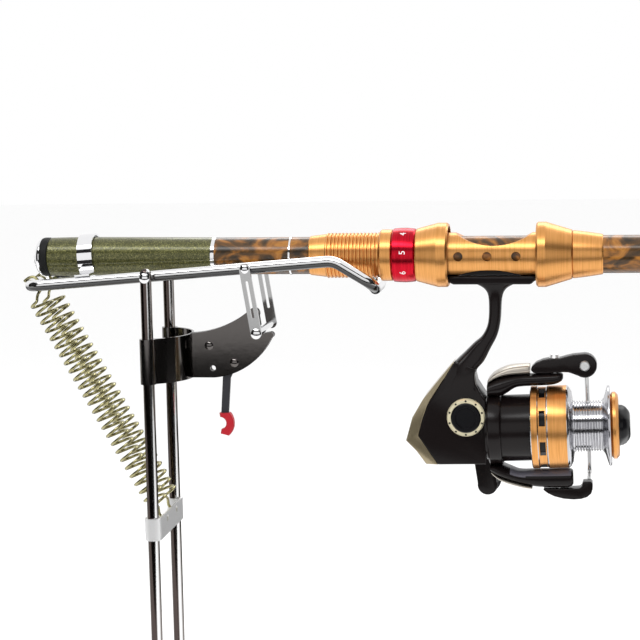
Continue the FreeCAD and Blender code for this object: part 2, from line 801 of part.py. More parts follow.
def line_guide(label, tube, x, eye, drop):
    """A line guide: a collar on the tube, a ring below it and a frame between."""
    wire = 0.9
    collar = Part.makeCylinder(tube + 0.9, 5, Vector(x, 0, 0), Vector(1, 0, 0))
    ring = Part.makeTorus(eye + wire, wire, Vector(x + 2.5, 0, -drop), Vector(1, 0, 0))
    frame = collar.fuse(ring)
    for side in (-1, 1):
        top = Vector(x + 2.5, side * tube * 0.8, -tube * 0.7)
        foot = Vector(x + 2.5, side * (eye + wire) * 0.8, -drop + (eye + wire) * 0.6)
        frame = frame.fuse(rod_solid(top, foot, 0.8))
    bore = Part.makeCylinder(tube + 0.03, 9, Vector(x - 2, 0, 0), Vector(1, 0, 0))
    shaped(label, frame.cut(bore).removeSplitter(), rod_at)


def make_sections():
    """Three tubes that slide out of the butt section, each with its line guide."""
    size = cells("section", back=-46, wall=0.9, step=0.98, first=7.92, proud=12)
    line_guide("guide_1", rod.blank_front.value, rod.front.value - 8, 8, 22)
    for index in range(3):
        outer = size.first - size.step * index
        front = rod.front + size.proud * (index + 1)
        name = index + 2
        tip = [(front, outer), (front, outer - size.wall)]
        if index == 2:
            tip = [(front, outer), (front + 1.5, outer - 1.4), (front + 1.5, outer - size.wall - 1)]
        turned(f"section_{name}", [
            (size.back, outer - size.wall), (size.back, outer), *tip], rod_at)
        line_guide(f"guide_{name}", outer.value, front.value - 8, 6.5 - 1.3 * index,
                   18.5 - 3 * index)


# ----------------------------------------------------------------- reel ----

reel = cells(
    "reel", at_x=164, drop=91, tilt=2, handle_z=8.5, near=-11, far=13, shaft=1.5, bore=1.58,
    bearing=5.6, pinion=3.4, bail_x=46, bail_half=4, crank_y=39, knob_x=7, knob_z=-38.5)
reel_at = (reel.at_x, 0, rod_axis - reel.drop)
reel_tilt = Rotation(Vector(0, 1, 0), -reel.tilt.value)
handle_at = (reel.at_x, 0, rod_axis - reel.drop + reel.handle_z)


def tool_body(label, plane, shapes, thickness, offset=0):
    """A padded solid that is only cut away from another part."""
    body = new_body(label)
    pad(body, plane, shapes, thickness, offset)
    return place(body, reel_at)


def fused(label, items):
    joined = doc.addObject("Part::MultiFuse", label)
    joined.Shapes = items
    return joined


def make_reel_body():
    """The housing with its stem and foot, hollow inside and open on the near side."""
    wide = 6.5
    housing = new_body("reel_housing")
    pad(housing, "XZ", [[
        (-6.3, 36.5), (-11.1, 28.5), (-20, 14.7), (-24.9, -1.6), (-14.8, -16.5),
        (10.2, -16), (9.9, 17.2), (4.3, 25.9), (4.2, 33)]], reel.far - reel.near, 1)
    pad(housing, "XZ", [[
        (-6.3, 36.5), (3.5, 45.5), (8.8, 49.7), (11, 56.6), (11.2, 68.4), Via(8.9, 74),
        (3.3, 76.3), (3.3, 78), (26, 78), (26, 76.3), Via(20.4, 74), (18.1, 68.4),
        (15.7, 49.7), (9.1, 36.5), (4.2, 33), (2, 28), (-6, 28)]], 11)
    pad(housing, "XZ", [[
        (-15, 80.55), (-15, 78.6), (-9.6, 78.2), (-7, 76.2), (33, 76.2), (35.2, 78.2),
        (41, 78.6), (41, 80.55)]], 2 * wide)
    place(housing, reel_at)
    neck = new_body("reel_neck")
    spin(neck, [
        (8.6, 4.2), (8.6, 10.9), (10.5, 10.9), (10.5, 16.6), (14.6, 16.6), (15, 16.2),
        (15, reel.bearing), (12, reel.bearing), (12, 4.2)])
    place(neck, reel_at, reel_tilt)
    cavity = tool_body("reel_cavity", "XZ", [[
        (-13.5, -14), (-21.3, -4.3), (-21.3, 5), (-18.5, 9), (-9, 19), (5, 19), (8.2, 16.5),
        (8.2, -14)]], 20, -2)
    gear_room = new_body("gear_room")
    spin(gear_room, [(3.2, 0), (3.2, 11.7), (8, 11.7), (8, 3.08), (14, 3.08), (14, 0)])
    place(gear_room, handle_at, X_TO_Y)
    pinion_room = new_body("pinion_room")
    spin(pinion_room, [(5, 0), (5, 4.2), (12, 4.2), (12, 0)])
    place(pinion_room, reel_at, reel_tilt)
    body = doc.addObject("Part::Cut", "reel_body")
    body.Base = fused("reel_solid", [housing, neck])
    body.Tool = fused("reel_rooms", [cavity, gear_room, pinion_room])
    keep(body, "reel_body")
    turned("main_bearing", [
        (12, reel.pinion + 0.02), (12, reel.bearing), (14.8, reel.bearing),
        (14.8, reel.pinion + 0.02)], reel_at, reel_tilt)


def make_reel_covers():
    """The near cover, the bronze rear band and the round cap with its ring."""
    cover = new_body("side_cover")
    pad(cover, "XZ", [[
        (-6.3, 36.5), (-11.1, 28.5), (-20, 14.7), (-24.9, -1.6), (-14.8, -16.5),
        (10.2, -16), (9.9, 17.2), (4.3, 25.9), (4.2, 33)]], 2.4, -12.2)
    pocket(cover, "XZ", [Ring(0, reel.handle_z, 3.08)])
    keep(place(cover, reel_at))
    plate("rear_cover", [[
        (-6.3, 36.5), (-7.5, 35.3), (-16, 25.2), (-22.5, 17.1), (-27.8, 8.1), (-31.2, -4),
        (-25.7, -9.6), (-20.9, -16.2), (-14.8, -16.5), (-24.9, -1.6), (-20, 14.7),
        (-11.1, 28.5)]], 26.4, reel_at)
    turned("side_cap_ring", [
        (13.4, 7.75), (13.4, 9.9), (14.8, 9.8), (15.8, 9.2), (15.8, 7.75)],
        handle_at, X_TO_MINUS_Y)
    turned("side_cap", [
        (13.4, 0), (13.4, 7.7), (16, 7.7), (16.5, 7.1), (16.5, 5.5), (16, 5.3), (16, 0)],
        handle_at, X_TO_MINUS_Y)


def make_gears():
    """The face gear on the handle's shaft and the pinion that the rotor sits on."""
    gear = new_body("drive_gear")
    spin(gear, [
        (-12.9, 0), (-12.9, 3), (4.5, 3), (4.5, 9.3), (3.8, 9.3), (3.8, 11.2), (6.5, 11.2),
        (6.5, 4.5), (7.8, 4.5), (7.8, 3), (20, 3), (20, 0)])
    notch = pocket(gear, "XZ", [[(3.7, -0.5), (3.7, 0.5), (4.5, 0.3), (4.5, -0.3)]], 3, 9.2)
    repeat_round(gear, notch, 30)
    keep(place(gear, handle_at, X_TO_Y))
    pinion = new_body("pinion")
    spin(pinion, [
        (2, reel.bore), (2, 3.6), (9.5, 3.6), (10.5, reel.pinion), (24.5, reel.pinion),
        (24.5, reel.bore)])
    notch = pocket(pinion, "YZ", [Ring(4, 0, 1)], 7.6, 9.5)
    repeat_round(pinion, notch, 6)
    keep(place(pinion, reel_at, reel_tilt))


def make_crank():
    """The handle on the far side: its sleeve and arm, and the knob on its pin."""
    size = cells("crank", sleeve=5.5, bar=4, boss=5, pin=1.7, pin_end=68)
    arm_body = new_body("crank_arm")
    knob_drop = reel.knob_z - reel.handle_z
    pad(arm_body, "XZ", [Ring(0, 0, size.boss)], size.bar, reel.crank_y + 2)
    pad(arm_body, "XZ", [[
        (-3.8, 0.5), (-2.4 + reel.knob_x, knob_drop - 1), (2.8 + reel.knob_x, knob_drop + 0.2),
        (3.8, 0)]], size.bar, reel.crank_y + 2)
    pad(arm_body, "XZ", [Ring(reel.knob_x, knob_drop, size.boss + 0.4)], size.bar,
        reel.crank_y + 2)
    pad(arm_body, "XZ", [Ring(reel.knob_x, knob_drop, size.pin)], size.pin_end - 42,
        (size.pin_end + 42) / 2)
    pad(arm_body, "XZ", [Ring(0, 0, size.sleeve)], 26, 13.2 + 13)
    pocket(arm_body, "XZ", [Ring(0, 0, 3)], 6.85, 13.2)
    keep(place(arm_body, handle_at))
    turned("handle_knob", [
        (43.2, size.pin + 0.06), (43.2, 4.6), (45, 5.6), Via(57, 6.6), (67, 5.9), (69.6, 4.2),
        (70, 3), (70, 0), (68.2, 0), (68.2, size.pin + 0.06)],
        (reel.at_x + reel.knob_x, 0, rod_axis - reel.drop + reel.knob_z), X_TO_Y)


def make_rotor():
    """The rotor's ring and cup with its two arms, and the covers over the arms."""
    half = reel.bail_half
    body = new_body("rotor")
    spin(body, [
        (10.8, 17.2), (10.8, 18.5), (11.3, 19), (17.2, 19), (17.7, 18.5), (17.7, 17.2),
        (41, 17.2), (41, 15.4), (19.7, 15.4), (19.7, 6), (24.5, 6), (24.5, reel.pinion),
        (16.7, reel.pinion), (16.7, 17.2)])
    pad(body, "XZ", [[
        (11.3, 17.8), (11.3, 24.8), (14, 26.2), (20.5, 28.1), (33.7, 28.2), (48.6, 28.2),
        (50, 26.5), (48.6, 24.2), (44, 22.4), (25.1, 22), (19.5, 17.8)]], 11)
    pad(body, "XZ", [[
        (11.3, -17.8), (19.5, -17.8), (25.1, -22), (53, -22), (53.2, -30), (51.5, -31.7),
        (38.3, -31.7), (32, -30.6), (23.4, -28), (15.3, -24.3), (11.3, -21)]], 11)
    pocket(body, "XY", [Ring(reel.bail_x, 0, reel.bore)])
    keep(place(body, reel_at, reel_tilt))
    covers = []
    outlines = (
        [(11.6, 25), (11.6, 26.4), (14.7, 29.4), (23.4, 33), (32.4, 33.4), (32.4, 28.2),
         (20.5, 28.1), (14, 26.2)],
        [(11.3, -21), (15.3, -24.3), (23.4, -28), (32, -30.6), (32, -32.2), (23.2, -29.8),
         (14.6, -26), (11.3, -22.8)])
    for index, outline in enumerate(outlines):
        cover = new_body(f"arm_cover_{index}")
        pad(cover, "XZ", [outline], 11)
        covers.append(place(cover, reel_at, reel_tilt))
    group("rotor_arm_covers", covers)
    arm_part = new_body("bail_arm")
    pad(arm_part, "XZ", [[
        (33.6, 30.6), (36.5, 34.1), (43, 36.1), (49, 36.1), (52.1, 37.3), (58.7, 37.4), Via(67.5, 31.8),
        (57.7, 26.7), (54.5, 28.3), (50.3, 28.8), (36.5, 28.3)]], half * 2)
    pocket(arm_part, "XY", [Ring(reel.bail_x, 0, reel.shaft)])
    pocket(arm_part, "XZ", [Ring(61.3, 31.8, 1.5)])
    keep(place(arm_part, reel_at, reel_tilt))
    lever = new_body("bail_lever")
    pad(lever, "XZ", [[
        (37.7, -32.3), (43.4, -36), (53.2, -37.8), (59.5, -36.9), (63, -32.6), (63, -28.6),
        (58, -28.6), (57.5, -31.3), (54, -31.8), (38, -31.8)]], half * 2)
    pocket(lever, "XY", [Ring(reel.bail_x, 0, reel.shaft)])
    pocket(lever, "XZ", [Ring(61, -30.2, 1)], 2.6, 4, True)
    keep(place(lever, reel_at, reel_tilt))


def make_bail():
    """The bail's pivot screws, its roller and the wire bow behind the spool."""
    x, z = 61.3, 31.8
    pivot_x = reel.bail_x.value
    upper = rod_solid(Vector(pivot_x, 0, 24.5), Vector(pivot_x, 0, 36.5), 1.5).fuse(
        Part.makeCone(2.8, 2.1, 1.6, Vector(pivot_x, 0, 36.1)))
    lower = rod_solid(Vector(pivot_x, 0, -24.5), Vector(pivot_x, 0, -36.8), 1.5)
    roller_screw = rod_solid(Vector(x, -4, z), Vector(x, 9.4, z), 1.5).fuse(
        Part.makeCone(2.2, 2.7, 0.9, Vector(x, -4.9, z), Vector(0, 1, 0)))
    shaped("bail_screws", Part.Compound([upper, lower, roller_screw]), reel_at, reel_tilt)
    spot = reel_tilt.multVec(Vector(x, 0, z))
    turned("line_roller", [
        (4.15, 1.58), (4.15, 3.6), (5, 3.8), Via(6.4, 2.9), (7.8, 3.8), (8.6, 3.6),
        (8.6, 1.58)], (reel.at_x + spot.x, 0, rod_axis - reel.drop + spot.z), X_TO_Y)
    bow = Part.BSplineCurve()
    bow.interpolate([
        Vector(x, 14, z), Vector(x, 24, 27.5), Vector(x, 33, 16), Vector(x, 36, 0),
        Vector(x, 32, -16), Vector(x, 20, -27), Vector(x - 0.3, 4, -30.2)],
        InitialTangent=Vector(0, 1, 0), FinalTangent=Vector(0, -1, 0))
    wire = swept(Part.Wire([bow.toShape()]), 1)
    cone = Part.makeCone(3.4, 1, 5.2, Vector(x, 8.8, z), Vector(0, 1, 0))
    socket = rod_solid(Vector(x, 8, z), Vector(x, 9.4, z), 1.5)
    foot = rod_solid(Vector(x - 0.3, 1.6, -30.2), Vector(x - 0.3, 4.2, -30.2), 1)
    shaped("bail_wire", wire.fuse([cone.cut(socket), foot]), reel_at, reel_tilt)


def make_spool():
    """The spool with its slotted skirt and ridged arbor, its lip and the drag knob."""
    body = new_body("spool")
    spin(body, [
        (33, 19), (33, 21), (33.4, 21.3), (36.8, 21.3), (37.1, 20.8), (41, 20.8),
        (41.4, 21.3), (51.8, 21.3), (52.6, 20.6), (54.3, 17), (54.5, 13.2), (69.3, 13.2),
        (70.2, 14.5), (72, 20.3), (72.4, 20.7), (73, 20.7), (73.4, 20.2), (73.4, 10.9),
        (64, 10.9), (64, reel.bore), (52, reel.bore), (52, 19)])
    groove = spin_cut(body, [(55.2, 13.3), (55.5, 12.7), (56.1, 12.7), (56.4, 13.3)])
    repeat_along(body, groove, 1.4, 10)
    slot = pocket(body, "XZ", [[(37.5, -4), (37.5, 4), (40.6, 4), (40.6, -4)]], 30)
    repeat_round(body, slot, 8)
    keep(place(body, reel_at, reel_tilt))
    turned("spool_lip", [
        (73.4, 10.9), (73.4, 15.9), (74.6, 17.2), (76.1, 17.2), (77.4, 15.6), (77.6, 13.5),
        (76.6, 10.9)], reel_at, reel_tilt)
    turned("drag_knob", [
        (64.3, reel.bore), (64.3, 5), (75, 5), (75, 10.7), (77.9, 10.7), (80.5, 9.6),
        (83.3, 5.4), (83.3, 0), (79.6, 0), (79.6, reel.bore)], reel_at, reel_tilt)
    turned("main_shaft", [(-12.2, 0), (-12.2, reel.shaft), (79.3, reel.shaft), (79.3, 0)],
           reel_at, reel_tilt)
    slider = new_body("crosswind_slider")
    spin(slider, [(-12, reel.shaft), (-12, 3.5), (-8, 3.5), (-8, reel.shaft)])
    keep(place(slider, reel_at, reel_tilt))


def write_parts():
    """Check every object and piece, then write one STEP file for each piece."""
    doc.recompute()
    bad = [o.Label for o in doc.Objects if {"Invalid", "Error"} & set(o.State)]
    bad += [o.Label for o in nodes if o.Shape.isNull() or not o.Shape.isValid()]
    if bad:
        raise RuntimeError(f"these failed: {sorted(set(bad))}")
    os.makedirs("parts", exist_ok=True)
    for item in nodes:
        item.Shape.exportStep(os.path.join("parts", f"{item.Label}.step"))
    print(len(nodes), "parts written")


make_legs()
make_pivot_rivets()
make_catch_plates()
make_catch_rivets()
make_spring_bracket()
make_trigger()
make_arm_frame()
make_butt_hoop()
make_stirrup()
make_springs()
make_butt_end()
make_blank()
make_seat_barrel()
make_lock_ring_and_nut()
make_hoods()
make_seat_body()
make_sections()
make_reel_body()
make_reel_covers()
make_gears()
make_crank()
make_rotor()
make_bail()
make_spool()
write_parts()
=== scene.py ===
"""The visual model of a spring rod holder with a telescopic rod and spinning reel."""

import json
import math

import bmesh
import bpy
from mathutils import Matrix, Vector


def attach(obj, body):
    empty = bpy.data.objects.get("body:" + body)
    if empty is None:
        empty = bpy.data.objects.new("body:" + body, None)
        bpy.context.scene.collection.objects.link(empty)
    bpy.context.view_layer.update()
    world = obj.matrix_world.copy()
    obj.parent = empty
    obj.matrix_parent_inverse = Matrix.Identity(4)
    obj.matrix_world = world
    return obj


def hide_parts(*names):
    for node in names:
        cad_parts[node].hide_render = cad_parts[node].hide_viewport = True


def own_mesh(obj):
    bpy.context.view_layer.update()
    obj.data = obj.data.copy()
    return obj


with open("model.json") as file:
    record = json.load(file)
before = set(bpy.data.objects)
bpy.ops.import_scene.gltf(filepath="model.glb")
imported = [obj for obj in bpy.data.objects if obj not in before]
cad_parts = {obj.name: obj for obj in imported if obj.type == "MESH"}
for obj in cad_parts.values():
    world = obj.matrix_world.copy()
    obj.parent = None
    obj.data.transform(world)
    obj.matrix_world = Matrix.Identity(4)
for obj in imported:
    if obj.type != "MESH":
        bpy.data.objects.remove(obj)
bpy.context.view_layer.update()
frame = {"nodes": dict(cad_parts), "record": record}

MM = 0.001
scene = bpy.context.scene
nodes = frame["nodes"]


# ------------------------------------------------------------ materials ---

def principled(name, color, rough, metal=0.0, coat=0.0):
    """A new material and its shader node, with the plain sockets set."""
    material = bpy.data.materials.new(name)
    material.use_nodes = True
    shader = material.node_tree.nodes["Principled BSDF"]
    shader.inputs["Base Color"].default_value = (*color, 1)
    shader.inputs["Roughness"].default_value = rough
    shader.inputs["Metallic"].default_value = metal
    shader.inputs["Coat Weight"].default_value = coat
    shader.inputs["Coat Roughness"].default_value = 0.06
    return material, shader


def add(material, kind, **values):
    """A node in the material, with attributes or input defaults set by name."""
    node = material.node_tree.nodes.new(kind)
    for key, value in values.items():
        if hasattr(node, key):
            setattr(node, key, value)
        else:
            node.inputs[key.replace("_", " ")].default_value = value
    return node


def join(material, source, socket, target, into):
    """Link a node's output to another node's input."""
    material.node_tree.links.new(source.outputs[socket], target.inputs[into])


def object_noise(material, scale, detail=4.0, stretch=(1, 1, 1)):
    """Noise laid out in the object's own metres."""
    place = add(material, "ShaderNodeTexCoord")
    mapping = add(material, "ShaderNodeMapping")
    mapping.inputs["Scale"].default_value = stretch
    noise = add(material, "ShaderNodeTexNoise", Scale=scale, Detail=detail)
    join(material, place, "Object", mapping, "Vector")
    join(material, mapping, "Vector", noise, "Vector")
    return noise


def ramp(material, source, socket, stops):
    """A colour ramp from a list of (place, colour)."""
    node = add(material, "ShaderNodeValToRGB")
    band = node.color_ramp
    while len(band.elements) < len(stops):
        band.elements.new(0.5)
    for element, (place, color) in zip(band.elements, stops):
        element.position = place
        element.color = (*color, 1)
    join(material, source, socket, node, "Fac")
    return node


def bump(material, shader, source, socket, strength, distance):
    """Use a node's value as the relief of the surface."""
    node = add(material, "ShaderNodeBump", Strength=strength, Distance=distance)
    join(material, source, socket, node, "Height")
    join(material, node, "Normal", shader, "Normal")


def brushed(name, color, dark, rough):
    """A turned or anodised metal with fine lathe lines round X."""
    material, shader = principled(name, color, rough, metal=1.0)
    lines = object_noise(material, 1.0, 2.0, (2600, 60, 60))
    tone = ramp(material, lines, "Fac", [(0.3, dark), (0.62, color)])
    join(material, tone, "Color", shader, "Base Color")
    bump(material, shader, lines, "Fac", 0.12, 0.00004)
    return material


def polished(name, color, rough):
    """A bright bar metal with faint draw marks."""
    material, shader = principled(name, color, rough, metal=1.0)
    marks = object_noise(material, 260, 3.0)
    bump(material, shader, marks, "Fac", 0.04, 0.0002)
    return material


def make_painted_reflection_bar(name, axis, stops):
    """Polished bar whose base colour is painted reflection: dark on the sides the stops give, as if
    mirroring a dark room.
    """
    material, shader = principled(name, (0.8, 0.8, 0.8), 0.1, metal=1.0)
    facing = add(material, "ShaderNodeNewGeometry")
    parts = add(material, "ShaderNodeSeparateXYZ")
    join(material, facing, "Normal", parts, "Vector")
    share = add(material, "ShaderNodeMapRange")
    share.inputs["From Min"].default_value = -1
    join(material, parts, axis, share, "Value")
    tone = ramp(material, share, "Result", stops)
    join(material, tone, "Color", shader, "Base Color")
    return material


def make_burl():
    """Lacquered brown and amber burl under a clear coat."""
    material, shader = principled("burl_lacquer", (0.3, 0.14, 0.03), 0.3, coat=0.3)
    shader.inputs["Specular IOR Level"].default_value = 0.3
    swirl = object_noise(material, 75, 5.0, (0.75, 1, 1))
    swirl.inputs["Distortion"].default_value = 2.4
    tone = ramp(material, swirl, "Fac", [
        (0.32, (0.02, 0.011, 0.003)), (0.46, (0.08, 0.036, 0.007)),
        (0.55, (0.23, 0.088, 0.012)), (0.66, (0.38, 0.155, 0.022)), (0.82, (0.07, 0.045, 0.01))])
    join(material, tone, "Color", shader, "Base Color")
    return material


def make_olive():
    """Olive paint with fine metallic flakes."""
    material, shader = principled("olive_flake", (0.13, 0.15, 0.03), 0.34, metal=0.55, coat=0.4)
    place = add(material, "ShaderNodeTexCoord")
    flakes = add(material, "ShaderNodeTexVoronoi", Scale=2600.0)
    join(material, place, "Object", flakes, "Vector")
    tone = ramp(material, flakes, "Color", [
        (0.15, (0.034, 0.036, 0.008)), (0.6, (0.078, 0.078, 0.018)), (0.97, (0.26, 0.25, 0.09))])
    join(material, tone, "Color", shader, "Base Color")
    bump(material, shader, flakes, "Distance", 0.12, 0.0002)
    return material


def make_plastic(name, color, rough, coat):
    """Moulded plastic with a very faint uneven skin."""
    material, shader = principled(name, color, rough, coat=coat)
    shader.inputs["Specular IOR Level"].default_value = 0.2
    skin = object_noise(material, 900, 2.0)
    bump(material, shader, skin, "Fac", 0.03, 0.0001)
    return material


steel = polished("polished_bar", (0.78, 0.78, 0.79), 0.09)
mirror = polished("mirror_strip", (0.13, 0.12, 0.115), 0.1)
links = polished("link_steel", (0.46, 0.46, 0.46), 0.14)
bright = polished("bright_sheet", (0.85, 0.85, 0.85), 0.45)
chrome = polished("chrome_plate", (0.86, 0.86, 0.87), 0.05)
zinc = polished("yellow_zinc", (0.36, 0.33, 0.17), 0.14)
gold = brushed("gold_anodised", (0.76, 0.37, 0.12), (0.62, 0.28, 0.08), 0.32)
red_metal = brushed("red_anodised", (0.62, 0.012, 0.03), (0.4, 0.006, 0.016), 0.25)
silver = brushed("machined_silver", (0.6, 0.6, 0.62), (0.42, 0.42, 0.44), 0.16)
trim = polished("trim_silver", (0.85, 0.85, 0.86), 0.12)
dial_gold, _ = principled("dial_gold", (0.92, 0.84, 0.58), 0.25, metal=0.5)
brass = polished("gear_brass", (0.75, 0.55, 0.22), 0.3)
burl = make_burl()
olive = make_olive()
body_plastic = make_plastic("body_plastic", (0.006, 0.004, 0.004), 0.24, 0.03)
bronze_skin, _ = principled("bronze_skin", (0.36, 0.3, 0.19), 0.26, metal=0.9, coat=0.4)
champagne, _ = principled("champagne_satin", (0.5, 0.46, 0.4), 0.33, metal=0.85)
knob_plastic = make_plastic("knob_plastic", (0.004, 0.004, 0.005), 0.28, 0.1)
rubber = make_plastic("black_rubber", (0.008, 0.008, 0.008), 0.55, 0.0)
red_rubber = make_plastic("red_rubber", (0.42, 0.012, 0.022), 0.4, 0.1)
lever_paint = make_plastic("lever_paint", (0.03, 0.03, 0.035), 0.4, 0.2)
blank_lacquer = make_plastic("blank_lacquer", (0.02, 0.016, 0.012), 0.18, 1.0)
# a grey copy of the body plastic: painted light for the lower rotor arm's lit faces
painted_light_grey = make_plastic("painted_light_grey", (0.1, 0.095, 0.115), 0.4, 0.2)

SLOT_LOOKS = {
    "polished_steel": steel, "dark_steel": mirror, "bright_plate": bright,
    "spring_wire": zinc, "lever_steel": lever_paint, "red_rubber": red_rubber,
    "chrome": chrome, "black_rubber": rubber, "olive_paint": olive, "silver_trim": trim,
    "burl_blank": burl, "gold": gold, "red_anodised": red_metal, "guide_frame": mirror,
    "black_blank": blank_lacquer, "reel_plastic": body_plastic, "bronze": bronze_skin,
    "champagne": champagne, "machined": silver, "knob_black": knob_plastic,
    "gear_metal": brass}
slot_of = {s["node"]: s["material_slot"] for s in frame["record"]["subparts"]}
# every node shows its slot's look; a few that differ within a slot follow
for name, part in nodes.items():
    part.data.materials.clear()
    part.data.materials.append(SLOT_LOOKS[slot_of[name]])
nodes["side_cap_ring"].data.materials[0] = dial_gold
nodes["catch_rivets"].data.materials[0] = mirror
# painted reflection on the rails: dark on their lower side, a little paler at the very bottom,
# bright on top
nodes["arm_frame"].data.materials[0] = make_painted_reflection_bar("rail_painted_reflection", "Z", [
    (0.0, (0.3, 0.3, 0.3)), (0.16, (0.05, 0.05, 0.05)), (0.38, (0.09, 0.09, 0.09)),
    (0.47, (0.5, 0.5, 0.5)), (0.6, (0.85, 0.85, 0.86))])
# painted reflection on the legs, by the way the normal faces in X: dark over most of the bar, a
# bright strip towards +X, thin lighter and darker edges
leg_painted_reflection = make_painted_reflection_bar("leg_painted_reflection", "X", [
    (0.04, (0.5, 0.48, 0.46)), (0.12, (0.07, 0.055, 0.05)), (0.64, (0.09, 0.07, 0.065)),
    (0.72, (0.85, 0.85, 0.85)), (0.88, (0.8, 0.8, 0.8)), (0.95, (0.16, 0.14, 0.13))])
for leg in ("leg_near", "leg_far"):
    nodes[leg].data.materials[0] = leg_painted_reflection
nodes["bail_screws"].data.materials[0] = bright
for link in ("stirrup_near", "stirrup_far", "bail_wire"):
    nodes[link].data.materials[0] = links


# ----------------------------------------------------------- mesh tools ---

REEL_AT = Vector((164, 0, 267.8)) * MM
NUT_AT = Vector((132.2, 0, 358.8)) * MM
TILT = math.radians(2)  # how far the spool's end points up
REEL = Matrix.Translation(REEL_AT)
TILTED = REEL @ Matrix.Rotation(-TILT, 4, "Y")


def piece(name, mesh, body, slot, look, place=None, stands_for=()):
    """A finished mesh as a piece that rides on a body of the frame."""
    item = bpy.data.objects.new(name, mesh)
    scene.collection.objects.link(item)
    if place is not None:
        item.matrix_world = place
    if not mesh.materials:
        mesh.materials.append(look)
    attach(item, body)
    if stands_for:
        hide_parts(*stands_for)
    return item


def smooth_by_angle(item, degrees=35):
    """Smooth shading that keeps the edges sharper than an angle."""
    mesh = item.data
    mesh.shade_smooth()
    mesh.set_sharp_from_angle(angle=math.radians(degrees))


def tube_mesh(name, points, radius):
    """A round wire along points in millimetres, as a mesh."""
    curve = bpy.data.curves.new(name, "CURVE")
    curve.dimensions = "3D"
    curve.bevel_depth = radius * MM
    curve.bevel_resolution = 3
    curve.use_fill_caps = True
    curve.resolution_u = 6
    spline = curve.splines.new("NURBS")
    spline.points.add(len(points) - 1)
    for spot, point in zip(spline.points, points):
        spot.co = (*(Vector(point) * MM), 1)
    spline.order_u = 3
    spline.use_endpoint_u = True
    holder = bpy.data.objects.new(name, curve)
    scene.collection.objects.link(holder)
    bpy.context.view_layer.update()
    mesh = bpy.data.meshes.new_from_object(holder.evaluated_get(
        bpy.context.evaluated_depsgraph_get()))
    bpy.data.objects.remove(holder)
    mesh.shade_smooth()
    return mesh


THINNING = 0.45  # how much of a thinned slab's width is gone at its narrowest
THINNING_REACH = 15  # the height in mm over which that happens


def slab_mesh(name, outline, low, high, bevel, segments=3, thin_from=None):
    """A flat piece: an outline of (x, z) carried from y = low to y = high.

    Above z = thin_from it narrows in y, by THINNING at THINNING_REACH higher.
    """
    work = bmesh.new()
    ring = [work.verts.new(Vector((x, low, z)) * MM) for x, z in outline]
    face = work.faces.new(ring)
    grown = bmesh.ops.extrude_face_region(work, geom=[face])
    moved = [v for v in grown["geom"] if isinstance(v, bmesh.types.BMVert)]
    bmesh.ops.translate(work, verts=moved, vec=Vector((0, high - low, 0)) * MM)
    bmesh.ops.recalc_face_normals(work, faces=work.faces)
    if thin_from is not None:
        for vert in work.verts:
            rise = (vert.co.z / MM - thin_from) / THINNING_REACH
            vert.co.y *= 1 - THINNING * min(max(rise, 0), 1)
    edges = [e for e in work.edges if e.calc_face_angle(0) > math.radians(28)]
    bmesh.ops.bevel(work, geom=edges, offset=bevel * MM, segments=segments,
                    profile=0.5, affect="EDGES", clamp_overlap=True)
    mesh = bpy.data.meshes.new(name)
    work.to_mesh(mesh)
    work.free()
    return mesh


def lathe_mesh(name, profile, steps=96, bend=None, hollow=False):
    """A turned form about X from (x, radius) points in mm; hollow ones close on themselves."""
    work = bmesh.new()
    rings = []
    for x, radius in profile:
        ring = []
        for step in range(steps):
            angle = 2 * math.pi * step / steps
            wide = bend(x, radius, angle) if bend else radius
            ring.append(work.verts.new(
                Vector((x, wide * math.cos(angle), wide * math.sin(angle))) * MM))
        rings.append(ring)
    followers = rings[1:] + ([rings[0]] if hollow else [])
    for before, after in zip(rings, followers):
        for step in range(steps):
            following = (step + 1) % steps
            work.faces.new((before[step], before[following], after[following], after[step]))
    if not hollow:
        work.faces.new(rings[0][::-1])
        work.faces.new(rings[-1])
    bmesh.ops.recalc_face_normals(work, faces=work.faces)
    mesh = bpy.data.meshes.new(name)
    work.to_mesh(mesh)
    work.free()
    return mesh


def arc(centre, radius, start, end, count):
    """Points on an arc, angles in degrees."""
    spots = []
    for step in range(count + 1):
        angle = math.radians(start + (end - start) * step / count)
        spots.append((centre[0] + radius * math.cos(angle), centre[1] + radius * math.sin(angle)))
    return spots


# -------------------------------------------------------------- springs ---

# the springs' lower and upper ends as seen from the side, and how far out each one stands, in mm
FOOT = Vector((3.7, 0, 220.1))
HEAD = Vector((-66, 0, 344.9))
SPRING_OUT = 10.3


def make_springs():
    """Coils with turned-in hooks."""
    along = (HEAD - FOOT).normalized()
    length = (HEAD - FOOT).length
    turn = along.to_track_quat("Z", "Y").to_matrix()
    wire, coil, hook, turns, per_turn = 0.78, 5.7, 9.5, 25, 14
    low, high = hook, length - hook
    for name, side in (("near", -1), ("far", 1)):
        spots = [(0, 0.4, 0.4), (0, -1.9, 1.2), (0, -2.6, 3.6), (0.4, -1.2, 6.2), (2.6, 0, low - 2)]
        for step in range(turns * per_turn + 1):
            angle = 2 * math.pi * step / per_turn
            height = low + (high - low) * step / (turns * per_turn)
            spots.append((coil * math.cos(angle), coil * math.sin(angle), height))
        spots += [(2.6, 0, high + 2), (0.4, 1.2, length - 5.6), (0, 3.9, length - 4.6),
                  (0, 4.7, length), (0, 3.6, length + 3.2), (0, 0, length + 4.1),
                  (0, -2.4, length + 3.4)]
        offset = Vector((0, SPRING_OUT * side, 0))
        placed = [turn @ Vector(spot) + FOOT + offset for spot in spots]
        mesh = tube_mesh(f"spring_coil_{name}", placed, wire)
        item = piece(f"spring_coil_{name}", mesh, "stand", "spring_wire", zinc,
                     stands_for=[f"spring_{name}"])
        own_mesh(item)


# ----------------------------------------------------------------- reel ---

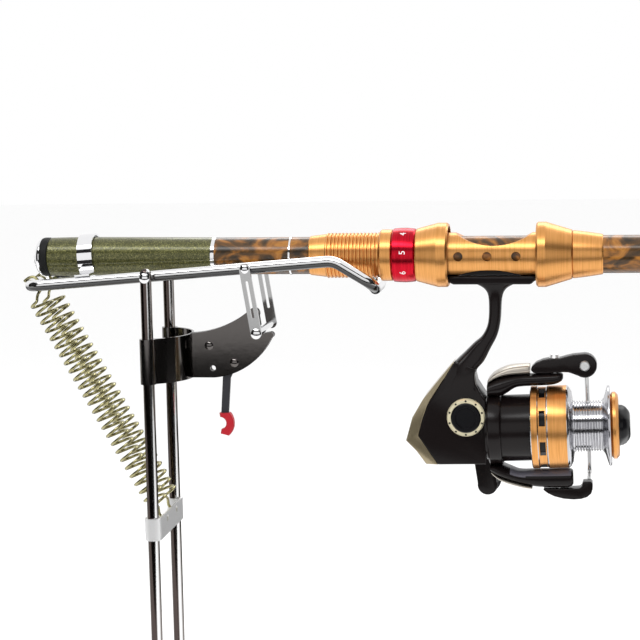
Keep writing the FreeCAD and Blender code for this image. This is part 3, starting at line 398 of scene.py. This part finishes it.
def oval(half_wide, half_high, power, count):
    """Points of a rounded rectangle about zero, in (wide, high)."""
    spots = []
    for step in range(count):
        angle = 2 * math.pi * step / count
        c, s = math.cos(angle), math.sin(angle)
        spots.append((half_wide * math.copysign(abs(c) ** (2 / power), c),
                      half_high * math.copysign(abs(s) ** (2 / power), s)))
    return spots


LOFT_POINTS = 40


def loft_mesh(name, sections, power):
    """A skin through sections of ((x, z), (x, z), half width in y)."""
    work = bmesh.new()
    rings = []
    for first, second, half in sections:
        a, b = Vector((first[0], 0, first[1])), Vector((second[0], 0, second[1]))
        middle, reach = (a + b) / 2, (b - a) / 2
        rings.append([work.verts.new((middle + reach * along + Vector((0, wide, 0))) * MM)
                      for wide, along in oval(half, 1, power, LOFT_POINTS)])
    for before, after in zip(rings, rings[1:]):
        for step in range(LOFT_POINTS):
            following = (step + 1) % LOFT_POINTS
            work.faces.new((before[step], before[following], after[following], after[step]))
    work.faces.new(rings[0][::-1])
    work.faces.new(rings[-1])
    bmesh.ops.recalc_face_normals(work, faces=work.faces)
    mesh = bpy.data.meshes.new(name)
    work.to_mesh(mesh)
    work.free()
    return mesh


def eased(keys, count):
    """Sections between key sections, along a smooth curve through them."""
    flat = [(*a, *b, h) for a, b, h in keys]
    spots = []
    for index in range(len(flat) - 1):
        p0 = flat[max(index - 1, 0)]
        p1, p2 = flat[index], flat[index + 1]
        p3 = flat[min(index + 2, len(flat) - 1)]
        for step in range(count):
            t = step / count
            spots.append(tuple(
                0.5 * (2 * b + (c - a) * t + (2 * a - 5 * b + 4 * c - d) * t * t
                       + (3 * b - a - 3 * c + d) * t ** 3)
                for a, b, c, d in zip(p0, p1, p2, p3)))
    spots.append(flat[-1])
    return [((s[0], s[1]), (s[2], s[3]), s[4]) for s in spots]


HOUSING = [(-6.3, 36.5), (-11.1, 28.5), (-15.9, 21.3), (-20, 14.7), (-23, 6.4), (-24.9, -1.6),
           (-14.8, -16.5), (10.2, -16), (9.9, 17.2), (7.6, 20.2), (4.9, 25.2), (4.2, 29),
           (4.6, 33)]
REAR_BAND = [(-6.3, 36.5), (-7.5, 35.3), (-16, 25.2), (-22.5, 17.1), (-27.8, 8.1),
             (-31.2, -4), (-25.7, -9.6), (-20.9, -16.2), (-14.8, -16.5), (-24.9, -1.6),
             (-23, 6.4), (-20, 14.7), (-11.1, 28.5)]
HOUSING_THIN_FROM = 21
STEM = [
    ((-13, 22), (3, 22), 11.6), ((-10.6, 28.5), (4.1, 27), 10.4), ((-7.1, 34.9), (4.9, 31.6), 8.6),
    ((-1.5, 40.5), (8.6, 36), 7), ((3.5, 45.5), (12, 42.6), 5.7), ((8, 49.6), (15.5, 49.4), 4.9),
    ((10.9, 56.6), (17.3, 57.2), 4.4), ((11.2, 68.3), (18.1, 68.3), 4.4),
    ((9.4, 73.2), (20, 73.2), 5), ((5, 76), (24.4, 76), 5.9), ((1, 77.4), (28, 77.4), 6.2)]


def make_reel_shell():
    """The housing with its near cover, rear band, stem and foot."""
    rides = dict(body="rod", slot="reel_plastic", look=body_plastic, place=REEL)
    shell = piece("reel_housing", slab_mesh(
        "reel_housing", HOUSING, -10.9, 13, 2.6, 4, HOUSING_THIN_FROM),
        stands_for=["reel_body"], **rides)
    smooth_by_angle(shell, 40)
    cover = piece("reel_side_cover", slab_mesh(
        "reel_side_cover", HOUSING, -13.4, -11.05, 1.2, 4, HOUSING_THIN_FROM),
        stands_for=["side_cover"], **rides)
    smooth_by_angle(cover, 40)
    stem = piece("reel_stem", loft_mesh("reel_stem", eased(STEM, 5), 3.2), **rides)
    smooth_by_angle(stem, 50)
    foot = piece("reel_foot", slab_mesh("reel_foot", [
        (-15, 80.5), (-15, 78.6), (-9.6, 78.2), (-7, 76.2), (33, 76.2), (35.2, 78.2), (41, 78.6),
        (41, 80.5)], -6.5, 6.5, 0.8), **rides)
    smooth_by_angle(foot, 40)
    # painted shade: the black fill in the arch under the seat stands partly for the seat's dark
    # inside and partly for the shadow there
    arch_fill = piece("seat_arch_dark_fill", slab_mesh("seat_arch_dark_fill", [
        (-5, 81.1), *arc((12, 38.2), 45.6, 109.5, 73.5, 10), (27.5, 81.1)], -6, 6, 0.3, 2),
        "rod", "black_rubber", rubber, REEL)
    smooth_by_angle(arch_fill, 40)
    band = piece("reel_rear_band", slab_mesh(
        "reel_rear_band", REAR_BAND, -13.3, 13.2, 1, 2, HOUSING_THIN_FROM),
        "rod", "bronze", bronze_skin, REEL, ["rear_cover"])
    smooth_by_angle(band, 25)
    neck = piece("reel_neck", lathe_mesh("reel_neck", [(9.6, 16.2), (14.6, 16.6), (15, 16.2)]),
                 "rod", "reel_plastic", body_plastic, TILTED)
    smooth_by_angle(neck)
    dots, dot_circle, dial_y, dial_z = 10, 8.7, -15.75, 8.5
    for index in range(dots):
        angle = math.radians(18 + 360 / dots * index)
        spot = Vector((dot_circle * math.cos(angle), dial_y,
                       dial_z + dot_circle * math.sin(angle)))
        dot = lathe_mesh(f"dial_dot_{index}", [(-0.2, 0.62), (0.15, 0.5)], 16)
        piece(f"dial_dot_{index}", dot, "rod", "knob_black", knob_plastic,
              REEL @ Matrix.Translation(spot * MM) @ Matrix.Rotation(math.radians(-90), 4, "Z"))


UPPER_ARM = [
    ((11.3, 17.6), (11.3, 24.8), 11), ((14, 17.5), (14, 26.2), 10.6), ((19, 17.7), (19, 27.6), 9.4),
    ((25, 21.2), (25, 28.1), 7.6), ((29, 21.9), (29, 28.2), 6.6), ((34, 22), (34, 28.2), 6),
    ((44, 22.2), (44, 28.2), 5.5), ((48.6, 23.6), (48.6, 28.1), 4.8),
    ((50, 25.3), (50, 27.4), 3)]
LOWER_ARM = [
    ((11.3, -17.6), (11.3, -21.2), 11), ((15, -17.9), (15, -24.2), 10.6),
    ((20, -19.8), (20, -26.7), 9), ((26, -22), (26, -28.9), 7.4), ((34, -22), (34, -31), 6.2),
    ((44, -22), (44, -31.7), 5.6), ((51, -22), (51, -31.7), 5.4), ((53.2, -23), (53.2, -30.2), 4.6)]
UPPER_COVER = [
    ((11.6, 24.6), (11.6, 26.2), 8.5), ((14.5, 26), (14.5, 29.2), 8.2),
    ((19, 27.5), (19, 31.6), 7.6), ((24, 28), (24, 33.1), 6.8),
    ((32.4, 28.2), (32.4, 33.5), 5.3), ((33, 28.6), (33, 33), 4.6)]
LOWER_COVER = [
    ((11.6, -21), (11.6, -23), 8.5), ((15, -24), (15, -26.2), 8.2), ((20, -26.5), (20, -28.7), 7.4),
    ((27, -29), (27, -31), 6.3), ((32, -30.4), (32, -32), 5.4)]


def make_rotor():
    """The rotor's ring and cup, its two swept arms and their covers, with painted light in grey on
    the lower arm's upward faces.
    """
    rides = dict(body="rotor_unit", place=TILTED)
    painted_light_from, painted_light_to = 21, 52.4
    cup = piece("rotor_cup", lathe_mesh("rotor_cup", [
        (10.8, 17.3), (10.8, 18.3), (11.5, 19), (16.9, 19), (17.6, 18.6), (18, 17.4), (18.6, 17.2),
        (40.6, 17.2), (41, 16.9), (41, 15.4), (19.7, 15.4), (19.7, 3.6), (16.7, 3.6),
        (16.7, 17.3)], hollow=True), slot="reel_plastic", look=body_plastic,
        stands_for=["rotor"], **rides)
    smooth_by_angle(cup)
    for name, sections, slot, look in (
            ("rotor_arm_upper", UPPER_ARM, "reel_plastic", body_plastic),
            ("rotor_arm_lower", LOWER_ARM, "reel_plastic", body_plastic),
            ("arm_cover_upper", UPPER_COVER, "champagne", champagne),
            ("arm_cover_lower", LOWER_COVER, "champagne", champagne)):
        stands = ["rotor_arm_covers"] if name == "arm_cover_upper" else ()
        mesh = loft_mesh(name, eased(sections, 5), 2.6)
        mesh.materials.append(look)
        # painted light: the lower arm's upward faces in the middle of its length are grey, for the
        # light falling on them
        if name == "rotor_arm_lower":
            mesh.materials.append(painted_light_grey)
            for face in mesh.polygons:
                facing_up = face.normal.z > 0.3
                face.material_index = int(
                    facing_up and painted_light_from < face.center.x / MM < painted_light_to)
        arm = piece(name, mesh, slot=slot, look=look, stands_for=stands, **rides)
        smooth_by_angle(arm, 50)


def make_bail():
    """Shells for the bail arm and the lever opposite it."""
    rides = dict(body="bail", place=TILTED)
    outline = [(33.6, 30.6), (34.6, 32.4), (36.5, 34.1), (40, 35.5), (43, 36), (49, 36.1),
               (52.1, 36.9), (55.5, 37.6)]
    outline += arc((61.3, 31.8), 6.2, 100, -125, 16)
    outline += [(55.6, 27.6), (53, 28.6), (50.3, 28.8), (44, 28.5), (36.5, 28.4), (34.6, 29.2)]
    arm = piece("bail_arm_shell", slab_mesh("bail_arm_shell", outline, -4, 4, 1.2, 4),
                slot="reel_plastic", look=body_plastic, stands_for=["bail_arm"], **rides)
    smooth_by_angle(arm, 45)
    outline = [(37.7, -32.4), (40, -34.3), (43.4, -36), (48, -37.3), (53.2, -37.8), (57, -37.6),
               (60, -36.7), (62.2, -34.9), (63, -32.6), (63, -29.4), (62.2, -28.6), (58.6, -28.6),
               (58, -29.2), (57.6, -31), (56.4, -32), (54, -32.1), (38, -32)]
    lever = piece("bail_lever_shell", slab_mesh("bail_lever_shell", outline, -4, 4, 1.1, 4),
                  slot="reel_plastic", look=body_plastic, stands_for=["bail_lever"], **rides)
    smooth_by_angle(lever, 45)


def ridged_arbor():
    """The arbor's outline, with a ridge every 1.4 mm."""
    spots = []
    for index in range(10):
        start = 55.2 + 1.4 * index
        spots += [(start, 13.2), (start + 0.35, 12.3), (start + 0.85, 12.3), (start + 1.2, 13.2)]
    return spots


def make_spool():
    """The spool: a gold slotted skirt, a ridged silver arbor and its flange."""
    slots, slot_low, slot_high, slot_floor = 8, 37.5, 40.6, 19.2

    def bend(x, radius, angle):
        """Sink the skirt's middle band at each slot."""
        share = (angle * slots / (2 * math.pi)) % 1
        if slot_low < x < slot_high and radius > 20 and 0.28 < share < 0.72:
            return slot_floor
        return radius

    profile = [(33, 19), (33, 20.9), (33.4, 21.3), (36.5, 21.3), (36.9, 21), (37.1, 20.8),
               (slot_low, 20.8), (slot_low + 0.05, 20.8), (slot_high - 0.05, 20.8),
               (slot_high, 20.8), (41, 20.8), (41.4, 21.2), (41.8, 21.3), (51.4, 21.3),
               (51.8, 21.2), (52.6, 20.5), (53.8, 18.2), (54.5, 13.4), (54.7, 13.2)]
    profile += ridged_arbor()
    profile += [(69.3, 13.2), (70.2, 14.5), (72, 20.3), (72.4, 20.7), (73, 20.7), (73.4, 20.2),
                (73.4, 10.9), (64, 10.9), (64, 1.6), (52, 1.6), (52, 19)]
    mesh = lathe_mesh("spool_shell", profile, 160, bend, hollow=True)
    for look in (silver, gold, knob_plastic):
        mesh.materials.append(look)
    in_silver, in_gold, in_black = range(3)
    for face in mesh.polygons:
        x = face.center.x / MM
        radius = math.hypot(face.center.y, face.center.z) / MM
        if 33.6 < x < 51.6 and radius > 19.5:
            face.material_index = in_gold
        if slot_low - 0.1 < x < slot_high + 0.1 and radius < 20.6:
            face.material_index = in_black
        if 36.4 < x < 37 or 41 < x < 41.7:
            face.material_index = in_silver
    spool = piece("spool_shell", mesh, "spool_unit", "machined", silver, TILTED, ["spool"])
    smooth_by_angle(spool, 30)


def make_knobs():
    """The lobed drag knob, and the crank's bar and sleeve."""
    nose_start, lobe_depth = 78.2, 0.1

    def lobes(x, radius, angle):
        """Draw the knob's nose in on three sides."""
        share = lobe_depth * max(0.0, math.cos(3 * angle)) if x > nose_start else 0
        return radius * (1 - share)

    knob = piece("drag_knob_shell", lathe_mesh("drag_knob_shell", [
        (64.3, 5), (75, 5), (75, 10.7), (77.6, 10.7), (78.1, 10.4), (79.4, 10.3), (81, 9.4),
        (82.6, 7.4), (83.1, 6.2), (83.3, 5)], 96, lobes), "drag", "knob_black", knob_plastic,
        TILTED, ["drag_knob"])
    smooth_by_angle(knob, 40)
    outline = [(-3.9, 9.4), (-4.6, 12)] + arc((0, 8.5), 5, 135, 45, 6) + [(4.6, 6.4)]
    outline += arc((7, -38.5), 5.4, 20, -190, 14)
    outline += [(-4.4, 4)]
    arm = piece("crank_bar", slab_mesh("crank_bar", outline, 39, 43, 1.1, 3), "crank",
                "reel_plastic", body_plastic, REEL, ["crank_arm"])
    smooth_by_angle(arm, 45)
    to_y = REEL @ Matrix.Translation(Vector((0, 0, 8.5)) * MM) @ Matrix.Rotation(
        math.radians(90), 4, "Z")
    sleeve = piece("crank_sleeve", lathe_mesh("crank_sleeve", [
        (13.2, 4.4), (13.2, 5.1), (13.7, 5.5), (16, 5.5), (20, 4.9), (39.5, 4.6), (39.5, 3)], 64),
        "crank", "reel_plastic", body_plastic, to_y)
    smooth_by_angle(sleeve)


# -------------------------------------------------------------- details ---

def make_nut_marks():
    """Plain white digits around the red nut."""
    white, _ = principled("mark_white", (0.9, 0.9, 0.9), 0.5)
    digits, first_angle, size, out = 8, -100, 4.4, 14.12
    for index in range(digits):
        angle = math.radians(first_angle + 360 / digits * index)
        text = bpy.data.curves.new(f"nut_digit_{index}", "FONT")
        text.body = str(index + 1)
        text.size = size * MM
        text.align_x = "CENTER"
        text.align_y = "CENTER"
        text.extrude = 0.05 * MM
        holder = bpy.data.objects.new("holder", text)
        scene.collection.objects.link(holder)
        bpy.context.view_layer.update()
        mesh = bpy.data.meshes.new_from_object(holder.evaluated_get(
            bpy.context.evaluated_depsgraph_get()))
        mesh.name = f"nut_digit_{index}"
        bpy.data.objects.remove(holder)
        spin = Matrix.Rotation(angle, 4, "X")
        up = Matrix.Translation(NUT_AT) @ spin
        lift = Matrix.Translation(Vector((0, 0, out)) * MM)
        piece(f"nut_digit_{index}", mesh, "nut", "red_anodised", white,
              up @ lift @ Matrix.Rotation(math.radians(90), 4, "Z"))


make_springs()
make_reel_shell()
make_rotor()
make_bail()
make_spool()
make_knobs()
make_nut_marks()


# ---------------------------------------------------------------- stage ---

def make_stage():
    """A plain pale floor and an even white surround."""
    mesh = bpy.data.meshes.new("floor")
    far = 6.0
    mesh.from_pydata([(-far, -far, 0), (far, -far, 0), (far, far, 0), (-far, far, 0)], [],
                     [(0, 1, 2, 3)])
    floor = bpy.data.objects.new("floor", mesh)
    floor.location.z = -0.0005
    look, _ = principled("floor_white", (0.97, 0.97, 0.97), 0.95)
    mesh.materials.append(look)
    scene.collection.objects.link(floor)
    world = bpy.data.worlds.new("studio")
    scene.world = world
    world.use_nodes = True
    world.node_tree.nodes["Background"].inputs["Color"].default_value = (1, 1, 1, 1)
    world.node_tree.nodes["Background"].inputs["Strength"].default_value = 1.0


def make_light(name, place, aim, size, power):
    """A soft panel light turned towards a point."""
    data = bpy.data.lights.new(name, "AREA")
    data.shape = "RECTANGLE"
    data.size, data.size_y = size
    data.energy = power
    lamp = bpy.data.objects.new(name, data)
    lamp.location = place
    way = Vector(aim) - Vector(place)
    lamp.rotation_euler = way.to_track_quat("-Z", "Y").to_euler()
    lamp.visible_camera = False
    scene.collection.objects.link(lamp)


def make_flag(name, place, aim, size):
    """A dark card beside the object, seen only in reflections."""
    half_x, half_y = size[0] / 2, size[1] / 2
    mesh = bpy.data.meshes.new(name)
    mesh.from_pydata([(-half_x, -half_y, 0), (half_x, -half_y, 0), (half_x, half_y, 0),
                      (-half_x, half_y, 0)], [], [(0, 1, 2, 3)])
    card = bpy.data.objects.new(name, mesh)
    look, _ = principled(f"{name}_black", (0.004, 0.004, 0.004), 0.9)
    mesh.materials.append(look)
    card.location = place
    card.rotation_euler = (Vector(aim) - Vector(place)).to_track_quat("-Z", "Y").to_euler()
    card.visible_camera = False
    card.visible_shadow = False
    card.visible_diffuse = False
    scene.collection.objects.link(card)


CAMERA_PLACE = (0.24, -0.94779, 0.44791)
CAMERA_TURNS = (-0.16017, -0.12747, -0.01995)  # yaw, pitch and roll, in radians
CAMERA_LENS = 103.97


def make_camera():
    """The photograph's view: from the right and above, turned left and a little down."""
    yaw, pitch, roll = CAMERA_TURNS
    forward = Vector((math.sin(yaw) * math.cos(pitch), math.cos(yaw) * math.cos(pitch),
                      math.sin(pitch)))
    right = Vector((math.cos(yaw), -math.sin(yaw), 0))
    up = right.cross(forward)
    across = right * math.cos(roll) + up * math.sin(roll)
    above = up * math.cos(roll) - right * math.sin(roll)
    data = bpy.data.cameras.new("camera")
    data.sensor_width = 36
    data.lens = CAMERA_LENS
    data.clip_end = 50
    camera = bpy.data.objects.new("camera", data)
    camera.matrix_world = Matrix((
        (across.x, above.x, -forward.x, CAMERA_PLACE[0]),
        (across.y, above.y, -forward.y, CAMERA_PLACE[1]),
        (across.z, above.z, -forward.z, CAMERA_PLACE[2]), (0, 0, 0, 1)))
    scene.collection.objects.link(camera)
    scene.camera = camera


make_stage()
make_light("key", (-0.15, -0.75, 1.35), (0.12, 0, 0.3), (1.3, 0.3), 7)
make_light("rim", (0.3, 0.8, 1.1), (0.12, 0, 0.3), (1.2, 0.4), 5)
make_flag("flag_left", (-1.25, -0.55, 0.5), (0.1, 0, 0.35), (1.5, 2.4))
make_flag("flag_right", (1.45, -0.55, 0.5), (0.1, 0, 0.35), (1.5, 2.4))
make_flag("flag_low", (0.12, -0.62, 0.02), (0.12, 0, 0.36), (2.6, 0.42))
make_flag("flag_high", (0.12, -0.9, 0.95), (0.12, 0, 0.34), (2.6, 0.34))
make_flag("flag_rear_low", (0.12, 0.5, 0.02), (0.12, 0, 0.36), (2.6, 0.3))
make_camera()
scene.view_settings.view_transform = "Standard"
